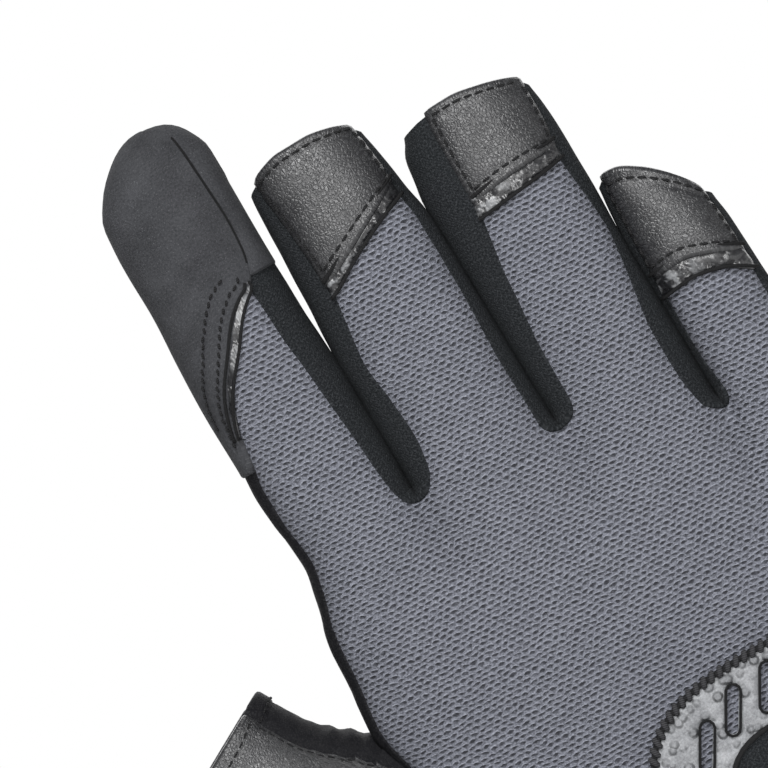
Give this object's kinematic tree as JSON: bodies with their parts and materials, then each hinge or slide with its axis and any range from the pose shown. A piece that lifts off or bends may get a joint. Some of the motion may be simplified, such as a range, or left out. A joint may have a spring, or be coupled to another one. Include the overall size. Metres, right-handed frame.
{
  "type": "sailing glove",
  "caption": "Right-hand sailing glove with a grey mesh back, closed index finger, open-ended leather-capped fingers and thumb, and a hook-and-loop wrist strap.",
  "frame": {"origin": "centre of the wrist opening, at the cuff's edge", "axes": "+Z from the wrist to the fingertips, -Y out of the back of the hand, +X towards the little finger"},
  "size_m": [0.1453, 0.05, 0.226],
  "materials": {
    "mesh_fabric": "charcoal textured stretch mesh",
    "palm_leather": "black synthetic leather, matt",
    "cap_leather": "dark grey pebbled synthetic leather",
    "suede": "black microfibre suede",
    "palm_pad": "brushed reinforcement suede",
    "gloss_trim": "glossy black film",
    "stretch_knit": "black brushed stretch knit",
    "grip_patch": "light grey moulded grip",
    "binding": "dark thread and tape",
    "neoprene": "black neoprene with knit face",
    "webbing": "black woven webbing",
    "loop_pile": "black loop pile",
    "hook_tape": "black hook tape"
  },
  "bodies": {
    "hand": {"back_panel": "mesh_fabric", "palm_panel": "palm_leather", "outer_side_panel": "stretch_knit", "inner_side_panel": "palm_leather", "thumb_gusset": "palm_leather", "web_index_middle": "stretch_knit", "web_middle_ring": "stretch_knit", "web_ring_little": "stretch_knit", "palm_pad_upper": "palm_pad", "palm_pad_heel": "palm_pad", "back_patch": "grip_patch", "back_patch_edging": "binding", "cuff_back": "neoprene", "cuff_palm": "neoprene", "cuff_binding": "binding", "loop_patch": "loop_pile", "strap_anchor": "webbing", "pull_loop": "webbing"},
    "strap": {"strap": "webbing", "strap_hook_patch": "hook_tape", "strap_tab": "grip_patch"},
    "index_base": {"index_base_back": "mesh_fabric", "index_base_palm": "palm_leather", "index_base_sides": "stretch_knit"},
    "index_tip": {"index_tip_wrap": "suede", "index_trim": "gloss_trim", "index_tip_palm": "palm_leather", "index_tip_sides": "suede", "index_tip_cap": "suede"},
    "middle_base": {"middle_base_back": "mesh_fabric", "middle_base_palm": "palm_leather", "middle_base_sides": "stretch_knit"},
    "middle_tip": {"middle_tip_back": "mesh_fabric", "middle_trim": "gloss_trim", "middle_cap": "cap_leather", "middle_tip_palm": "palm_leather", "middle_tip_sides": "stretch_knit"},
    "ring_base": {"ring_base_back": "mesh_fabric", "ring_base_palm": "palm_leather", "ring_base_sides": "stretch_knit"},
    "ring_tip": {"ring_tip_back": "mesh_fabric", "ring_trim": "gloss_trim", "ring_cap": "cap_leather", "ring_tip_palm": "palm_leather", "ring_tip_sides": "stretch_knit"},
    "little_base": {"little_base_back": "mesh_fabric", "little_base_palm": "palm_leather", "little_base_sides": "stretch_knit"},
    "little_tip": {"little_tip_back": "mesh_fabric", "little_trim": "gloss_trim", "little_cap": "cap_leather", "little_tip_palm": "palm_leather", "little_tip_sides": "stretch_knit"},
    "thumb": {"thumb_back": "cap_leather", "thumb_palm": "palm_leather", "thumb_sides": "palm_leather", "thumb_hem": "cap_leather"}
  },
  "joints": [
    {"name": "index_knuckle", "type": "hinge", "parent": "hand", "child": "index_base", "pos_m": [-0.0374, 0.0112, 0.132], "axis": [-1, 0, 0], "range_deg": [0, 75], "stiffness_Nm_per_rad": 0.02},
    {"name": "index_middle_joint", "type": "hinge", "parent": "index_base", "child": "index_tip", "pos_m": [-0.0374, 0.0108, 0.162], "axis": [-1, 0, 0], "range_deg": [0, 85], "stiffness_Nm_per_rad": 0.015},
    {"name": "middle_knuckle", "type": "hinge", "parent": "hand", "child": "middle_base", "pos_m": [-0.0103, 0.0112, 0.131], "axis": [-1, 0, 0], "range_deg": [0, 75], "stiffness_Nm_per_rad": 0.02},
    {"name": "middle_middle_joint", "type": "hinge", "parent": "middle_base", "child": "middle_tip", "pos_m": [-0.0095, 0.0108, 0.162], "axis": [-1, 0, 0], "range_deg": [0, 85], "stiffness_Nm_per_rad": 0.015},
    {"name": "ring_knuckle", "type": "hinge", "parent": "hand", "child": "ring_base", "pos_m": [0.0185, 0.0112, 0.129], "axis": [-1, 0, 0], "range_deg": [0, 75], "stiffness_Nm_per_rad": 0.02},
    {"name": "ring_middle_joint", "type": "hinge", "parent": "ring_base", "child": "ring_tip", "pos_m": [0.0186, 0.0108, 0.158], "axis": [-1, 0, 0], "range_deg": [0, 85], "stiffness_Nm_per_rad": 0.015},
    {"name": "little_knuckle", "type": "hinge", "parent": "hand", "child": "little_base", "pos_m": [0.0426, 0.0101, 0.119], "axis": [-1, 0, 0], "range_deg": [0, 75], "stiffness_Nm_per_rad": 0.02},
    {"name": "little_middle_joint", "type": "hinge", "parent": "little_base", "child": "little_tip", "pos_m": [0.0423, 0.0097, 0.135], "axis": [-1, 0, 0], "range_deg": [0, 85], "stiffness_Nm_per_rad": 0.015},
    {"name": "thumb_flex", "type": "hinge", "parent": "hand", "child": "thumb", "pos_m": [-0.0698, 0.0172, 0.0863], "axis": [-0.8829, 0, -0.4695], "range_deg": [0, 50], "stiffness_Nm_per_rad": 0.02},
    {"name": "strap_open", "type": "hinge", "parent": "hand", "child": "strap", "pos_m": [0.0432, -0.0037, 0.028], "axis": [0, 0, 1], "range_deg": [0, 120]}
  ]
}
